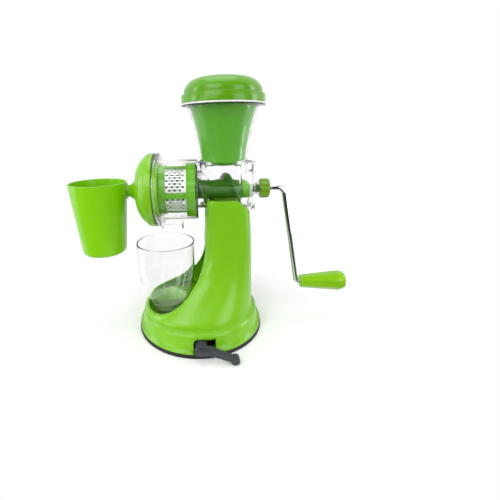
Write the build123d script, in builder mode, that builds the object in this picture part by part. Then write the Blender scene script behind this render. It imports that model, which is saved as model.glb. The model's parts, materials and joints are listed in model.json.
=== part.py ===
"""A hand cranked wheatgrass juicer with a suction foot, a clear juicing head and a glass.

Millimetres.  X points to the crank, Y to the back, Z up.  The origin is the centre of the
foot, on the surface that the juicer stands on.
"""

from build123d import *
import math
import os

# ---------------------------------------------------------------- driving dimensions

# Clearances
RUN = 0.06            # radial clearance of a turning or sliding fit
SNUG = 0.02           # radial clearance of a pressed or bonded fit
LOOSE = 0.3           # clearance between faces that never bear on each other

# Foot and stand
PAD_R = 77.0          # rubber pad, outer radius
PAD_RIM_H = 4.4       # rubber pad, height of its thick rim
PAD_TAPER = 1.4       # how far the rim draws in towards its top
PAD_RIM_W = 11.0      # rubber pad, width of its thick rim
PAD_T = 2.2           # rubber pad, thickness of the thin middle
PAD_HOLE_R = 31.0     # rubber pad, radius of the part that is drawn up
PAD_EDGE = 0.8        # bevel round the pad's lower edge
LIP_IN = 1.2          # the stand's bottom lip, inside the rubber pad's edge
LIP_H = 3.6
LIP_W = 2.6           # how far the lip stands out from the foot ring
RING_TAPER = 3.2      # how much narrower the foot ring is at the top
RING_TOP = 25.0       # foot ring, height of its upper edge
STAND_WALL = 2.6
COLUMN_TOP = 162.0    # top edge of the column
SEAT_CUT_OUT = 6.0    # how far the cut for the feed tube's seat runs past the column
COLUMN_CHAMFER = 14.4  # slanted corner over the crank side
COVE_X = -62.0        # centre of the hollow cut over the glass
COVE_HALF_X = 70.0    # half sizes of that hollow
COVE_HALF_Z = 73.0
FLOOR_TOP = 18.5      # surface that the glass stands on
FLOOR_T = 2.0
POST_R = 4.5          # screw posts under the well
POST_IN = 5.0         # from the pad's rim to the posts' middle
POST_COUNT = 4
PLATE_T = 2.8         # plastic plate that the rubber pad hangs from
PLATE_STEP_R = 34.4   # raised middle of that plate
PLATE_RISE = 2.6
PLATE_HOLE_R = 11.0
SCREW_R = 1.7
SCREW_HEAD_R = 3.2
SCREW_LEN = 9.0
HUMP_R = 13.0         # raised cover over the pad's stem
HUMP_H = 5.3

# Suction lever
LEVER_ANGLE = 1.6     # the lever's axis, turned from straight ahead
LEVER_Z = 12.5        # height of the lever's axis
CAM_SHAFT_R = 3.0
CAM_R = 4.7           # round lobe that lifts the pad
CAM_OFF = 1.5         # lobe off the shaft's axis
CAM_W = 6.0
LIFT = 2.25           # how far the pad's middle rises
STEM_T = 5.0
STEM_HALF_W = 8.4
STEM_BAR = 2.5        # bar over the stem's window
STEM_STUD_R = 2.5
BEARING_T = 5.0       # thickness of the shaft's bearings
LEVER_BOSS_R = 6.9    # round boss that fills the notch
LEVER_BLOCK_LEFT = 7.6   # the lever's block, from its axis
LEVER_BLOCK_RIGHT = 14.6
LEVER_BLOCK_UP = 5.2
LEVER_BLOCK_DOWN = 4.8
LEVER_BLOCK_T = 5.6
LEVER_REACH = 35.0    # from the axis to the knob
LEVER_DROP = 6.4      # knob below the axis
LEVER_SPLAY = 9.0     # knob in front of the block's inner face
LEVER_ARM_LEFT = 10.0   # where the arm starts, from the axis
LEVER_ARM_W = 8.0
LEVER_ARM_T = 5.0
LEVER_KNOB_R = 4.7
LEVER_KNOB_LEN = 7.0
NOTCH_LEFT = 8.6
NOTCH_RIGHT = 15.6
NOTCH_TOP = 20.2
NOTCH_ROUND = 6.0

# Juice glass
GLASS_X = -39.8
GLASS_RIM_R = 34.9
GLASS_H = 90.0
GLASS_FOOT_R = 18.0
GLASS_WALL = 1.8
GLASS_BASE_T = 5.0
# Height over the foot and distance inside the rim's radius, up the side
GLASS_SIDE = ((13.0, 12.3), (31.5, 4.4), (47.5, 1.1), (65.5, 0.4))

# Juicing head
AXIS_OVER = 9.0       # auger and crank axis, above the column
DRUM_LEFT = -42.0
DRUM_RIGHT = 1.5
DRUM_R = 34.1
DRUM_ROUND = 2.0
CLEAR_WALL = 2.5      # wall of the clear drum and feed tube
FLANGE_R = 41.6
FLANGE_T = 5.0
FLANGE_GROOVE = 1.6
FEED_R = 21.5         # feed tube round the auger, outer radius
FEED_END = 61.5       # inner face of the end plate
END_PLATE_T = 2.5
END_PLATE_HALF_W = 20.0
END_PLATE_DROP = 24.0  # end plate, below the axis
END_PLATE_ROUND = 6.0
DECK_OVER = 32.5      # flat deck round the hopper's neck, above the axis
DECK_HALF_W = 25.0
NECK_END = 71.0
NECK_R = 6.6
SPOUT_LEFT = -41.5
SPOUT_RIGHT = -16.7
SPOUT_HALF_W = 12.0
SPOUT_DROP = 43.6     # end of the spout, below the axis
SPOUT_WALL = 1.8
SPOUT_SINK = 6.0      # how far the spout's walls run up into the drum
FOOT_SEAT = 15.0      # web inside the column that the head rests on, below its top
FOOT_X = 28.0
FOOT_LEN = 24.0
FOOT_W = 18.0
FOOT_DEPTH = 20.0
SHOULDER = 3.0        # how far the foot widens above its seat
HOPPER_X = 30.4
HOPPER_H = 59.0       # hopper, from the deck to its rim
HOPPER_WALL = 1.6
HOPPER_LIP_R = 38.6
HOPPER_NECK_R = 26.7
HOPPER_BEND = 2.5     # where the neck starts to flare, above the deck
NECK_LOW_OVER = 7.0   # lower end of the hopper's neck, above the axis
# Depth under the rim and distance inside the lip's radius, down the flare
HOPPER_SIDE = ((4.0, 1.0), (21.5, 6.0), (37.5, 9.4))
HOPPER_FLANGE_OUT = 0.5  # clear flange, beyond the lid's band
HOPPER_FLANGE_T = 2.5

# Strainer
MESH_R = 24.5
MESH_T = 0.5
MESH_LEFT = -34.0
MESH_HOLE_R = 1.2
MESH_PITCH_X = 6.0
MESH_MARGIN = 1.8
MESH_ROWS = 44
COLLAR_R = 31.0
COLLAR_LEN = 9.8
STRAINER_END_R = 28.0
RIB_W = 6.0
RIB_R = 27.2
RIB_COUNT = 4
RIB_START = 185.0     # the front rib lies just under the axis

# Auger and crank
AUGER_CORE_R = 10.9
AUGER_FLIGHT_R = 18.2
AUGER_PITCH = 38.0
AUGER_TURNS = 1.4
AUGER_START = -4.0
PRESS_FLIGHT_R = 22.8
PRESS_CORE_R = 14.0
PRESS_NOSE_R = 8.0
PRESS_PITCH = 18.0
PRESS_TURNS = 2.0
FLIGHT_ROOT = 0.8     # how far a flight's root lies inside the core
FLIGHT_FOOT = 2.6     # half thickness of a flight at its root
FLIGHT_EDGE = 1.1     # and at its tip
JOURNAL_R = 4.6
AUGER_LEFT = -45.0
BUSH_LEFT = 52.0
BUSH_RIGHT = 60.0
SHAFT_R = 3.0
SHAFT_LEFT = 20.0
SHAFT_RIGHT = 77.0
NUT_LEFT = 71.8
NUT_RIGHT = 82.8
NUT_R = 11.1
NUT_RIBS = 10
NUT_RIB_R = 2.4
NUT_BEVEL = 1.6
INSERT_R = 5.0
ROD_R = 2.9
CRANK_OUT_X = 99.8    # where the rod turns down
CRANK_LOW_X = 121.8   # where the rod turns out again
CRANK_THROW = 119.6   # axis to the grip's axis
CRANK_BEND = 9.0      # radius of the rod's upper bend
CRANK_LOW_BEND = 4.0  # radius of its lower bend, beside the grip
GRIP_LEFT = 126.6
GRIP_RIGHT = 180.8
GRIP_R_LEFT = 7.9
GRIP_R_RIGHT = 12.2
GRIP_TIP = 6.0        # length of the bevel at the grip's wide end
GRIP_BEVEL = 1.6
GRIP_START_BEVEL = 0.8
ROD_END = 165.0
GRIP_SIDES = 8
GRIP_NUT_R = 5.2
GRIP_NUT_T = 4.0
GRIP_WELL_R = 7.0
PLUG_T = 3.0

# Pusher
CAP_BAND_R = 44.3
CAP_BAND_H = 8.5
CAP_STEP = 2.7        # crown of the lid, inside its band
CAP_CROWN_H = 18.6
CAP_WALL = 2.4
# The crown's curve: shares of its radius and of its height
CAP_CURVE = ((0.53, 0.914), (0.84, 0.704), (0.985, 0.296))
PUSHER_WALL = 2.2
PUSHER_GAP = 0.3
PUSHER_OVER = 27.5    # lower end of the pusher, above the axis
PUSHER_ROUND = 4.4    # height of its rounded end
PUSHER_END_R = 18.0   # its end rises from here
PUSHER_FLAT_R = 10.0  # and is flat inside here
PUSHER_FLANGE_T = 2.2

# End cap and waste cup
NOZZLE_R = 6.6
NOZZLE_BORE_R = 4.6
NOZZLE_TIP = -88.0
DOME_H = 21.5         # dome, from the drum's flange to where its neck starts
# The dome's neck and side: distance left of the neck's start, and radius
DOME_NECK = ((6.5, 8.2), (3.5, 11.0), (1.0, 15.0))
DOME_SIDE = ((-0.2, 0.457), (-1.3, 0.565), (-2.9, 0.673), (-5.9, 0.793), (-9.5, 0.889), (-13.5, 0.962))
DOME_RIM = 4.0        # straight rim of the dome
GASKET_T = 1.2
GASKET_IN_SHARE = 0.26   # the seal's edges, as shares of the way from plug to flange edge
GASKET_OUT_SHARE = 0.61
CUP_X = -113.6
CUP_RIM_R = 32.8
CUP_RIM_OVER = 10.2   # rim of the waste cup, above the axis
CUP_H = 84.2
CUP_LOW_R = 25.2
CUP_WALL = 2.0
CUP_FLOOR_T = 2.5
CUP_ROUND = 5.0
CUP_BOSS_R = 9.2
CUP_BOSS_RIGHT = -80.5

# ---------------------------------------------------------------- shared places

AXIS_Z = COLUMN_TOP + AXIS_OVER
LIP_R = PAD_R - LIP_IN
RING_R_LOW = LIP_R - LIP_W
RING_R_TOP = RING_R_LOW - RING_TAPER
PAD_RIM_IN = PAD_R - PAD_RIM_W
POST_AT = PAD_RIM_IN - POST_IN
FOOT_SEAT_Z = COLUMN_TOP - FOOT_SEAT
DECK_Z = AXIS_Z + DECK_OVER
HOPPER_TOP = DECK_Z + HOPPER_H
GLASS_RIM_Z = FLOOR_TOP + GLASS_H
ALONG_X = Plane(origin=(0, 0, AXIS_Z), x_dir=(0, 1, 0), z_dir=(1, 0, 0))
PROFILE_X = Plane(origin=(0, 0, AXIS_Z), x_dir=(1, 0, 0), z_dir=(0, -1, 0))
CRANK_AXIS = Axis((0, 0, AXIS_Z), (1, 0, 0))
GRIP_Z = AXIS_Z - CRANK_THROW
turn = math.radians(LEVER_ANGLE)
LEVER_PLANE = Plane(origin=(0, 0, LEVER_Z), x_dir=(math.cos(turn), math.sin(turn), 0),
                    z_dir=(math.sin(turn), -math.cos(turn), 0))
PLATE_TOP = PAD_T + PLATE_T


def section_at(x):
    """The plane across the crank axis at x."""
    return ALONG_X.offset(x)


def rod(plane, radius, length, mode=Mode.ADD):
    """Adds or cuts a round bar that starts on a plane and runs along its normal."""
    with Locations(plane):
        Cylinder(radius, length, align=(Align.CENTER, Align.CENTER, Align.MIN), mode=mode)


def bore(plane, radius, length):
    """Cuts a round hole that starts on a plane and runs along its normal."""
    rod(plane, radius, length, mode=Mode.SUBTRACT)


def block(low, high, mode=Mode.ADD):
    """Adds or cuts a square block between two opposite corners."""
    size = [high[i] - low[i] for i in range(3)]
    with Locations(tuple(low)):
        Box(*size, align=(Align.MIN, Align.MIN, Align.MIN), mode=mode)


def save(piece, label):
    """Labels a finished piece and writes it."""
    piece.part.label = label
    export_step(piece.part, "parts/" + label + ".step")


os.makedirs("parts", exist_ok=True)

# ---------------------------------------------------------------- stand

# Level sections of the boot: share of the height above the ring, left, right, half depth, corner.
BOOT = (
    (0.0, -69.0, 66.8, 64.0, 63.0),
    (0.073, -64.5, 65.0, 60.0, 58.0),
    (0.145, -50.0, 64.6, 51.0, 48.0),
    (0.247, -29.0, 64.3, 41.5, 38.0),
    (0.362, -10.0, 63.9, 34.5, 30.0),
    (0.493, 2.0, 63.2, 30.9, 24.0),
    (0.623, 6.8, 62.2, 29.3, 19.0),
    (0.754, 8.3, 61.0, 28.5, 16.5),
    (0.884, 8.6, 59.6, 28.2, 15.4),
    (1.0, 8.8, 58.0, 28.0, 15.0),
)
BOOT_LOW = RING_TOP - 1.0
COLUMN_LEFT = BOOT[-1][1]
COLUMN_RIGHT = BOOT[-1][2]
POSTS = PolarLocations(POST_AT, POST_COUNT, start_angle=180 / POST_COUNT)
RING_IN_LOW = RING_R_LOW - STAND_WALL
RING_IN_TOP = RING_R_TOP - STAND_WALL
SOCKET_LOW = FOOT_SEAT_Z - FOOT_DEPTH
FLOOR_LOW = FLOOR_TOP - FLOOR_T
COVE_Z = GLASS_RIM_Z - 3.5      # the hollow's middle lies just under the glass's rim


def boot_section(share, left, right, half_depth, corner, inset):
    """One level section of the boot, drawn in by an even inset."""
    with BuildSketch(Plane.XY.offset(BOOT_LOW + share * (COLUMN_TOP - BOOT_LOW))) as section:
        with Locations(((left + right) / 2, 0)):
            RectangleRounded(right - left - 2 * inset, 2 * (half_depth - inset),
                             corner - inset)
    return section.sketch


def boot(inset):
    """The boot shaped body with its column, drawn in by an even inset."""
    with BuildPart() as body:
        loft([boot_section(*row, inset) for row in BOOT])
    return body.part


def socket_block(grow, low, high, mode):
    """A block of the foot's outline, grown all round."""
    block((FOOT_X - FOOT_LEN / 2 - grow, -FOOT_W / 2 - grow, low),
          (FOOT_X + FOOT_LEN / 2 + grow, FOOT_W / 2 + grow, high), mode)


# The inside of the stand, which leaves a web and a socket for the foot of the head
with BuildPart() as hollow:
    add(boot(STAND_WALL))
    block((-PAD_R, -PAD_R, FOOT_SEAT_Z - STAND_WALL), (PAD_R, PAD_R, FOOT_SEAT_Z), Mode.SUBTRACT)
    socket_block(STAND_WALL, SOCKET_LOW, FOOT_SEAT_Z - STAND_WALL, Mode.SUBTRACT)
    socket_block(RUN, SOCKET_LOW, FOOT_SEAT_Z, Mode.ADD)
    extrude(boot_section(*BOOT[0], STAND_WALL), amount=-STAND_WALL)
    with BuildSketch(Plane.XZ):
        with BuildLine():
            Polyline((0, PAD_RIM_H), (RING_IN_LOW, PAD_RIM_H),
                     (RING_IN_TOP, RING_TOP - STAND_WALL),
                     (0, RING_TOP - STAND_WALL), close=True)
        make_face()
    revolve(axis=Axis.Z)

with BuildPart() as stand_shell:
    add(boot(0))
    # The foot ring with its lip
    with BuildSketch(Plane.XZ):
        with BuildLine():
            Polyline((0, PAD_RIM_H), (LIP_R, PAD_RIM_H), (LIP_R, PAD_RIM_H + LIP_H),
                     (RING_R_LOW, PAD_RIM_H + LIP_H), (RING_R_TOP, RING_TOP),
                     (0, RING_TOP), close=True)
        make_face()
    revolve(axis=Axis.Z)
    add(hollow.part, mode=Mode.SUBTRACT)
    # Screw posts under the well, joined to the ring by short ribs
    with BuildSketch(Plane.XY.offset(PLATE_TOP)):
        with POSTS:
            Circle(POST_R)
    extrude(amount=FLOOR_LOW - PLATE_TOP)
    with BuildSketch(Plane.XY.offset(PLATE_TOP)):
        with PolarLocations(POST_AT + POST_R, POST_COUNT, start_angle=180 / POST_COUNT):
            Rectangle(2 * POST_R, POST_R)
    extrude(amount=FLOOR_LOW - PLATE_TOP)
    with BuildSketch(Plane.XY.offset(PLATE_TOP)):
        with POSTS:
            Circle(SCREW_R + SNUG)
    extrude(amount=SCREW_LEN, mode=Mode.SUBTRACT)
    # The hollow over the glass, cut right across the stand
    with BuildSketch(Plane.XZ.offset(-PAD_R)):
        with Locations((COVE_X, COVE_Z)):
            Ellipse(COVE_HALF_X, COVE_HALF_Z)
        with Locations((COVE_X - COVE_HALF_X, COVE_Z)):
            Rectangle(2 * COVE_HALF_X, 2 * COVE_HALF_Z)
    extrude(amount=2 * PAD_R, mode=Mode.SUBTRACT)
    # The seat of the feed tube and the slanted corner at the column's top
    block((COLUMN_LEFT - SEAT_CUT_OUT, -FEED_R - LOOSE, FOOT_SEAT_Z),
          (COLUMN_RIGHT + SEAT_CUT_OUT, FEED_R + LOOSE, COLUMN_TOP), Mode.SUBTRACT)
    corner_x = COLUMN_RIGHT + 1
    with BuildSketch(Plane.XZ.offset(-PAD_R)):
        with BuildLine():
            Polyline((corner_x - COLUMN_CHAMFER, COLUMN_TOP),
                     (corner_x + COLUMN_CHAMFER, COLUMN_TOP),
                     (corner_x + COLUMN_CHAMFER, COLUMN_TOP - 2 * COLUMN_CHAMFER), close=True)
        make_face()
    extrude(amount=2 * PAD_R, mode=Mode.SUBTRACT)
    # The notch for the lever, with one rounded corner
    notch_low = PAD_RIM_H - LEVER_Z
    notch_high = NOTCH_TOP - LEVER_Z
    with BuildSketch(LEVER_PLANE.offset(POST_AT)):
        with BuildLine():
            Polyline((-NOTCH_LEFT, notch_high - NOTCH_ROUND), (-NOTCH_LEFT, notch_low),
                     (NOTCH_RIGHT, notch_low), (NOTCH_RIGHT, notch_high),
                     (-NOTCH_LEFT + NOTCH_ROUND, notch_high))
            RadiusArc((-NOTCH_LEFT + NOTCH_ROUND, notch_high),
                      (-NOTCH_LEFT, notch_high - NOTCH_ROUND), -NOTCH_ROUND)
        make_face()
    extrude(amount=PAD_R - POST_AT, mode=Mode.SUBTRACT)
save(stand_shell, "stand_shell")

FLOOR_R = RING_IN_LOW - (FLOOR_TOP - PAD_RIM_H) * (RING_IN_LOW - RING_IN_TOP) / (
    RING_TOP - STAND_WALL - PAD_RIM_H) - RUN

with BuildPart() as well_floor:
    rod(Plane.XY.offset(FLOOR_LOW), FLOOR_R, FLOOR_T)
    rod(Plane.XY.offset(FLOOR_LOW), HUMP_R, FLOOR_T + HUMP_H)
    fillet(well_floor.edges().filter_by(GeomType.CIRCLE).group_by(Axis.Z)[-1], FLOOR_T * 0.75)
    bore(Plane.XY.offset(FLOOR_LOW), HUMP_R - FLOOR_T, HUMP_H)
save(well_floor, "well_floor")

# ---------------------------------------------------------------- foot

# Where the cam shaft's bearings start along it, and how high the plate is there
BEARINGS = ((POST_AT - BEARING_T - 1, PLATE_TOP),
            (PLATE_STEP_R - 3 * BEARING_T, PLATE_TOP + PLATE_RISE),
            (-PLATE_STEP_R + 2 * BEARING_T, PLATE_TOP + PLATE_RISE))

with BuildPart() as base_plate:
    with BuildSketch(Plane.XZ):
        with BuildLine():
            Polyline((PLATE_HOLE_R, PAD_T + PLATE_RISE), (PAD_HOLE_R + LOOSE, PAD_T + PLATE_RISE),
                     (PAD_HOLE_R + LOOSE, PAD_T), (PAD_RIM_IN - LOOSE, PAD_T),
                     (PAD_RIM_IN - LOOSE, PLATE_TOP), (PLATE_STEP_R, PLATE_TOP),
                     (PLATE_STEP_R, PLATE_TOP + PLATE_RISE), (PLATE_HOLE_R, PLATE_TOP + PLATE_RISE),
                     close=True)
        make_face()
    revolve(axis=Axis.Z)
    # Three bearings for the cam shaft
    for reach, foot_z in BEARINGS:
        with BuildSketch(LEVER_PLANE.offset(reach)):
            with Locations((0, (foot_z - LEVER_Z) / 2)):
                Rectangle(4 * CAM_SHAFT_R, LEVER_Z - foot_z)
        extrude(amount=BEARING_T)
    bore(LEVER_PLANE.offset(-PAD_HOLE_R), CAM_SHAFT_R + RUN, PAD_HOLE_R + POST_AT)
    with BuildSketch(Plane.XY.offset(PAD_T)):
        with POSTS:
            Circle(SCREW_R + LOOSE)
    extrude(amount=PLATE_T, mode=Mode.SUBTRACT)
    with BuildSketch(Plane.XY.offset(PAD_T)):
        with POSTS:
            Circle(SCREW_HEAD_R + LOOSE)
    extrude(amount=PLATE_T / 2, mode=Mode.SUBTRACT)
save(base_plate, "base_plate")

with BuildPart() as base_screws:
    with BuildSketch(Plane.XY.offset(PAD_T + LOOSE)):
        with POSTS:
            Circle(SCREW_HEAD_R)
    extrude(amount=PLATE_T / 2 - LOOSE)
    with BuildSketch(Plane.XY.offset(PAD_T + PLATE_T / 2)):
        with POSTS:
            Circle(SCREW_R)
    extrude(amount=PLATE_T / 2 + SCREW_LEN - 1)
save(base_screws, "base_screws")

with BuildPart() as suction_ring:
    with BuildSketch(Plane.XZ):
        with BuildLine():
            Polyline((PAD_HOLE_R, 0), (PAD_R - PAD_EDGE, 0), (PAD_R, PAD_EDGE),
                     (PAD_R - PAD_TAPER, PAD_RIM_H), (PAD_RIM_IN, PAD_RIM_H),
                     (PAD_RIM_IN, PAD_T), (PAD_HOLE_R, PAD_T), close=True)
        make_face()
    revolve(axis=Axis.Z)
save(suction_ring, "suction_ring")

# The window in the stem clears the lobe through its whole turn
WINDOW_TOP = LEVER_Z - CAM_OFF + CAM_R + LOOSE
WINDOW_LOW = LEVER_Z - CAM_OFF - CAM_R - 2 * LOOSE
WINDOW_HALF_W = CAM_OFF + CAM_R + LOOSE
STEM_TOP = WINDOW_TOP + STEM_BAR
STEM_LOW = (PAD_T + WINDOW_LOW) / 2

with BuildPart() as suction_disc:
    rod(Plane.XY, PAD_HOLE_R - LOOSE, PAD_T)
    rod(Plane.XY.offset(PAD_T), PLATE_HOLE_R - 4, STEM_LOW - PAD_T)
    bore(Plane.XY.offset(PAD_T / 2), STEM_STUD_R + SNUG, STEM_LOW)
save(suction_disc, "suction_disc")

with BuildPart() as suction_stem:
    with BuildSketch(LEVER_PLANE.offset(-STEM_T / 2)):
        with Locations((0, (STEM_TOP + STEM_LOW) / 2 - LEVER_Z)):
            Rectangle(2 * STEM_HALF_W, STEM_TOP - STEM_LOW)
        with Locations((0, (WINDOW_TOP + WINDOW_LOW) / 2 - LEVER_Z)):
            RectangleRounded(2 * WINDOW_HALF_W, WINDOW_TOP - WINDOW_LOW, STEM_BAR / 3,
                             mode=Mode.SUBTRACT)
    extrude(amount=STEM_T)
    rod(Plane.XY.offset(PAD_T / 2), STEM_STUD_R, STEM_LOW - PAD_T / 2)
save(suction_stem, "suction_stem")

# The lever stands just in front of the rubber pad
LEVER_IN = PAD_R + LOOSE
LEVER_BOSS_IN = FLOOR_R + LOOSE
BLIND = 2.0            # plastic left in front of the shaft's end

with BuildPart() as cam_shaft:
    rod(LEVER_PLANE.offset(BEARINGS[-1][0] - LOOSE), CAM_SHAFT_R,
        LEVER_IN + LEVER_BLOCK_T - BLIND - BEARINGS[-1][0] + LOOSE)
    with BuildSketch(LEVER_PLANE.offset(-CAM_W / 2)):
        with Locations((0, -CAM_OFF)):
            Circle(CAM_R)
    extrude(amount=CAM_W)
save(cam_shaft, "cam_shaft")

# The lever's arm, from the block down and forward to the knob
ARM_START = LEVER_PLANE.offset(LEVER_IN + LEVER_BLOCK_T / 2).from_local_coords(
    Vector(LEVER_ARM_LEFT, 0, 0))
ARM_END = LEVER_PLANE.offset(LEVER_IN + LEVER_SPLAY).from_local_coords(
    Vector(LEVER_REACH, -LEVER_DROP, 0))
ARM_PLANE = Plane(origin=ARM_START, x_dir=LEVER_PLANE.z_dir, z_dir=ARM_END - ARM_START)
BLOCK_MID = (LEVER_BLOCK_UP - LEVER_BLOCK_DOWN) / 2
BLOCK_HALF = (LEVER_BLOCK_UP + LEVER_BLOCK_DOWN) / 2

with BuildPart() as suction_lever:
    # The block with its round end, and the boss behind it that fills the notch
    with BuildSketch(LEVER_PLANE.offset(LEVER_IN)):
        with Locations(((LEVER_BLOCK_RIGHT - LEVER_BLOCK_LEFT + BLOCK_HALF) / 2, BLOCK_MID)):
            Rectangle(LEVER_BLOCK_RIGHT + LEVER_BLOCK_LEFT - BLOCK_HALF, 2 * BLOCK_HALF)
        with Locations((BLOCK_HALF - LEVER_BLOCK_LEFT, BLOCK_MID)):
            Circle(BLOCK_HALF)
    extrude(amount=LEVER_BLOCK_T)
    rod(LEVER_PLANE.offset(LEVER_BOSS_IN), LEVER_BOSS_R, LEVER_IN - LEVER_BOSS_IN)
    # The arm, which narrows towards its knob
    with BuildSketch(ARM_PLANE):
        Rectangle(LEVER_ARM_T, LEVER_ARM_W)
    with BuildSketch(ARM_PLANE.offset((ARM_END - ARM_START).length)):
        Rectangle(LEVER_ARM_T, LEVER_ARM_W * 0.8)
    loft()
    knob_plane = Plane(origin=ARM_END, x_dir=LEVER_PLANE.x_dir, z_dir=LEVER_PLANE.z_dir)
    rod(knob_plane.offset(-LEVER_KNOB_LEN / 2), LEVER_KNOB_R, LEVER_KNOB_LEN)
    bore(LEVER_PLANE.offset(LEVER_BOSS_IN), CAM_SHAFT_R + SNUG,
         LEVER_IN + LEVER_BLOCK_T - BLIND - LEVER_BOSS_IN)
save(suction_lever, "suction_lever")

# ---------------------------------------------------------------- juice glass


GLASS_PROFILE = Plane(origin=(GLASS_X, 0, 0), x_dir=(1, 0, 0), z_dir=(0, -1, 0))
GLASS_AXIS = Axis((GLASS_X, 0, 0), (0, 0, 1))


def glass_half(inset, low):
    """Half of the glass's outline from a level to its rim, drawn in by an even inset."""
    side = [(GLASS_RIM_R - inwards - inset, FLOOR_TOP + height) for height, inwards in GLASS_SIDE]
    with BuildSketch(GLASS_PROFILE) as half:
        with BuildLine():
            Spline((GLASS_FOOT_R - inset, low), *side, (GLASS_RIM_R - inset, GLASS_RIM_Z),
                   tangents=[(0.25, 1), (0.005, 1)])
            Polyline((GLASS_RIM_R - inset, GLASS_RIM_Z), (0, GLASS_RIM_Z), (0, low),
                     (GLASS_FOOT_R - inset, low))
        make_face()
    return half.sketch


with BuildPart() as juice_glass:
    revolve(glass_half(0, FLOOR_TOP), axis=GLASS_AXIS)
    revolve(glass_half(GLASS_WALL, FLOOR_TOP + GLASS_BASE_T), axis=GLASS_AXIS,
            mode=Mode.SUBTRACT)
    fillet(juice_glass.edges().filter_by(GeomType.CIRCLE).group_by(Axis.Z)[-1], GLASS_WALL / 2.2)
save(juice_glass, "juice_glass")

# ---------------------------------------------------------------- juicing head

HOPPER_AXIS = Axis((HOPPER_X, 0, 0), (0, 0, 1))
HOPPER_PROFILE = Plane(origin=(HOPPER_X, 0, 0), x_dir=(1, 0, 0), z_dir=(0, -1, 0))
NECK_LOW = AXIS_Z + NECK_LOW_OVER
HOPPER_BEND_Z = DECK_Z + HOPPER_BEND
HOPPER_FLANGE_R = CAP_BAND_R + HOPPER_FLANGE_OUT


def hopper_outline(inset, low, end_points=()):
    """Half of the hopper's flared shape with an even inset, down to a level or a rounded end."""
    side = [(HOPPER_LIP_R - inwards - inset, HOPPER_TOP - depth) for depth, inwards in HOPPER_SIDE]
    neck = HOPPER_NECK_R - inset
    with BuildSketch(HOPPER_PROFILE) as half:
        with BuildLine():
            Polyline((0, HOPPER_TOP), (HOPPER_LIP_R - inset, HOPPER_TOP), side[0])
            Spline(*side, (neck, HOPPER_BEND_Z), tangents=[(-0.3, -1), (-0.04, -1)])
            Line((neck, HOPPER_BEND_Z), (neck, low))
            if end_points:
                ThreePointArc((neck, low), *end_points)
                Polyline(end_points[-1], (0, end_points[-1][1]), (0, HOPPER_TOP))
            else:
                Polyline((neck, low), (0, low), (0, HOPPER_TOP))
        make_face()
    return half.sketch


FEED_IN_R = FEED_R - CLEAR_WALL
DRUM_IN_R = DRUM_R - CLEAR_WALL
FLANGE_LEFT = DRUM_LEFT - FLANGE_T
DRUM_WALL_IN = DRUM_RIGHT - CLEAR_WALL
END_OUT = FEED_END + END_PLATE_T
SPOUT_TOP = AXIS_Z - DRUM_IN_R + SPOUT_SINK

with BuildPart() as juicer_housing:
    rod(section_at(DRUM_LEFT), DRUM_R, DRUM_RIGHT - DRUM_LEFT)
    fillet(juicer_housing.edges().filter_by(GeomType.CIRCLE).group_by(Axis.X)[-1], DRUM_ROUND)
    rod(section_at(FLANGE_LEFT), FLANGE_R, FLANGE_T)
    rod(section_at(DRUM_RIGHT - 1), FEED_R, FEED_END - DRUM_RIGHT + 2)
    rod(section_at(FEED_END), NECK_R, NECK_END - FEED_END)
    # End plate and the deck round the hopper's neck
    block((FEED_END, -END_PLATE_HALF_W, AXIS_Z - END_PLATE_DROP),
          (END_OUT, END_PLATE_HALF_W, DECK_Z))
    fillet(juicer_housing.edges().filter_by(Axis.X).group_by(Axis.Z)[0], END_PLATE_ROUND)
    block((DRUM_WALL_IN, -DECK_HALF_W, DECK_Z - CLEAR_WALL), (END_OUT, DECK_HALF_W, DECK_Z))
    # Hopper with its flange
    revolve(hopper_outline(0, NECK_LOW), axis=HOPPER_AXIS)
    rod(Plane(origin=(HOPPER_X, 0, HOPPER_TOP - HOPPER_FLANGE_T)), HOPPER_FLANGE_R,
        HOPPER_FLANGE_T)
    # Spout under the drum
    block((SPOUT_LEFT, -SPOUT_HALF_W, AXIS_Z - SPOUT_DROP),
          (SPOUT_RIGHT, SPOUT_HALF_W, SPOUT_TOP))
    # Foot that plugs into the column
    socket_block(SHOULDER, FOOT_SEAT_Z, AXIS_Z - FEED_IN_R, Mode.ADD)
    socket_block(0, FOOT_SEAT_Z - FOOT_DEPTH + 1, FOOT_SEAT_Z, Mode.ADD)
    # The inside
    bore(section_at(FLANGE_LEFT), DRUM_IN_R, DRUM_WALL_IN - FLANGE_LEFT)
    bore(section_at(DRUM_WALL_IN), FEED_IN_R, FEED_END - DRUM_WALL_IN)
    bore(section_at(FEED_END), JOURNAL_R + RUN, NECK_END - FEED_END)
    revolve(hopper_outline(HOPPER_WALL, NECK_LOW + HOPPER_WALL), axis=HOPPER_AXIS,
            mode=Mode.SUBTRACT)
    block((SPOUT_LEFT + SPOUT_WALL, -SPOUT_HALF_W + SPOUT_WALL, AXIS_Z - SPOUT_DROP),
          (SPOUT_RIGHT - SPOUT_WALL, SPOUT_HALF_W - SPOUT_WALL, SPOUT_TOP), Mode.SUBTRACT)
    # The groove round the drum's flange
    with BuildSketch(section_at(FLANGE_LEFT + (FLANGE_T - FLANGE_GROOVE) / 2)):
        Circle(FLANGE_R + 1)
        Circle(FLANGE_R - FLANGE_GROOVE, mode=Mode.SUBTRACT)
    extrude(amount=FLANGE_GROOVE, mode=Mode.SUBTRACT)
save(juicer_housing, "juicer_housing")

# ---------------------------------------------------------------- strainer

FRAME_IN_R = MESH_R + SNUG
COLLAR_LEFT = DRUM_WALL_IN - COLLAR_LEN

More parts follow.
